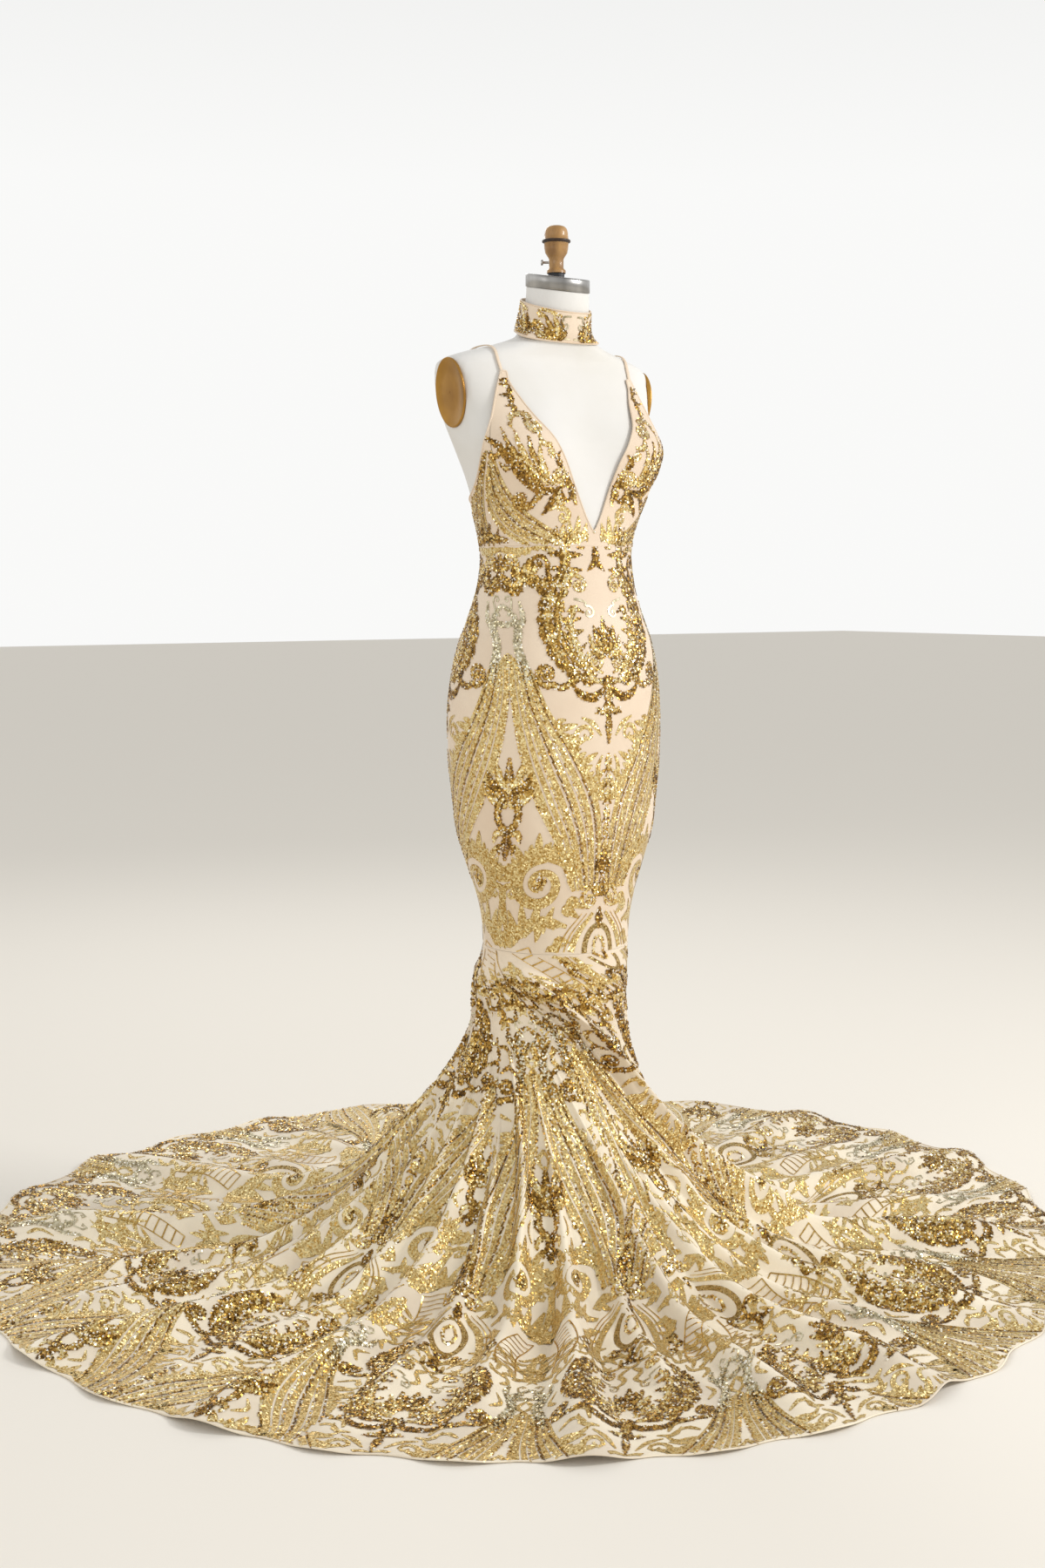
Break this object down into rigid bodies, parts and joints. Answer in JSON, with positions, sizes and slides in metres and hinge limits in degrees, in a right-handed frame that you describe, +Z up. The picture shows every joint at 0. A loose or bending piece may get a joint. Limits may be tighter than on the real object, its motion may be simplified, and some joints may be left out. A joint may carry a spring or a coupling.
{
  "type": "evening gown on dress form",
  "caption": "Fitted mermaid evening gown with a deep V neck, thin straps, separate choker and round train spread on the floor, worn by a limbless dress form on a stand.",
  "frame": {"origin": "middle of the stand's underside, on the floor, on the axis of the pole", "axes": "+Z up; the wearer faces -Y; +X is the wearer's left"},
  "size_m": [1.8201, 1.7265, 1.6719],
  "materials": {
    "gown_lace": "nude tulle with gold sequin scrolls and pale gold glitter bands",
    "form_linen": "cream jersey cover, smooth and matt",
    "arm_plate": "gold-brown enamel, satin",
    "neck_steel": "brushed, soft gloss",
    "knob_wood": "turned and stained, satin varnish",
    "stand_iron": "black enamel, satin",
    "pole_steel": "drawn tube, satin"
  },
  "bodies": {
    "root": {"bodice_front_left": "gown_lace", "bodice_front_right": "gown_lace", "bodice_back_left": "gown_lace", "bodice_back_right": "gown_lace", "strap_left": "gown_lace", "strap_right": "gown_lace", "skirt_front": "gown_lace", "skirt_back_left": "gown_lace", "skirt_back_right": "gown_lace", "choker": "gown_lace", "train_gore_1": "gown_lace", "train_gore_2": "gown_lace", "train_gore_3": "gown_lace", "train_gore_4": "gown_lace", "train_gore_5": "gown_lace", "train_gore_6": "gown_lace", "form_torso": "form_linen", "form_arm_plate_left": "arm_plate", "form_arm_plate_right": "arm_plate", "form_neck_cap": "neck_steel", "form_thumbscrew": "neck_steel", "form_knob": "knob_wood", "form_knob_washer": "stand_iron", "form_base": "stand_iron", "form_pole": "pole_steel"}
  },
  "joints": []
}
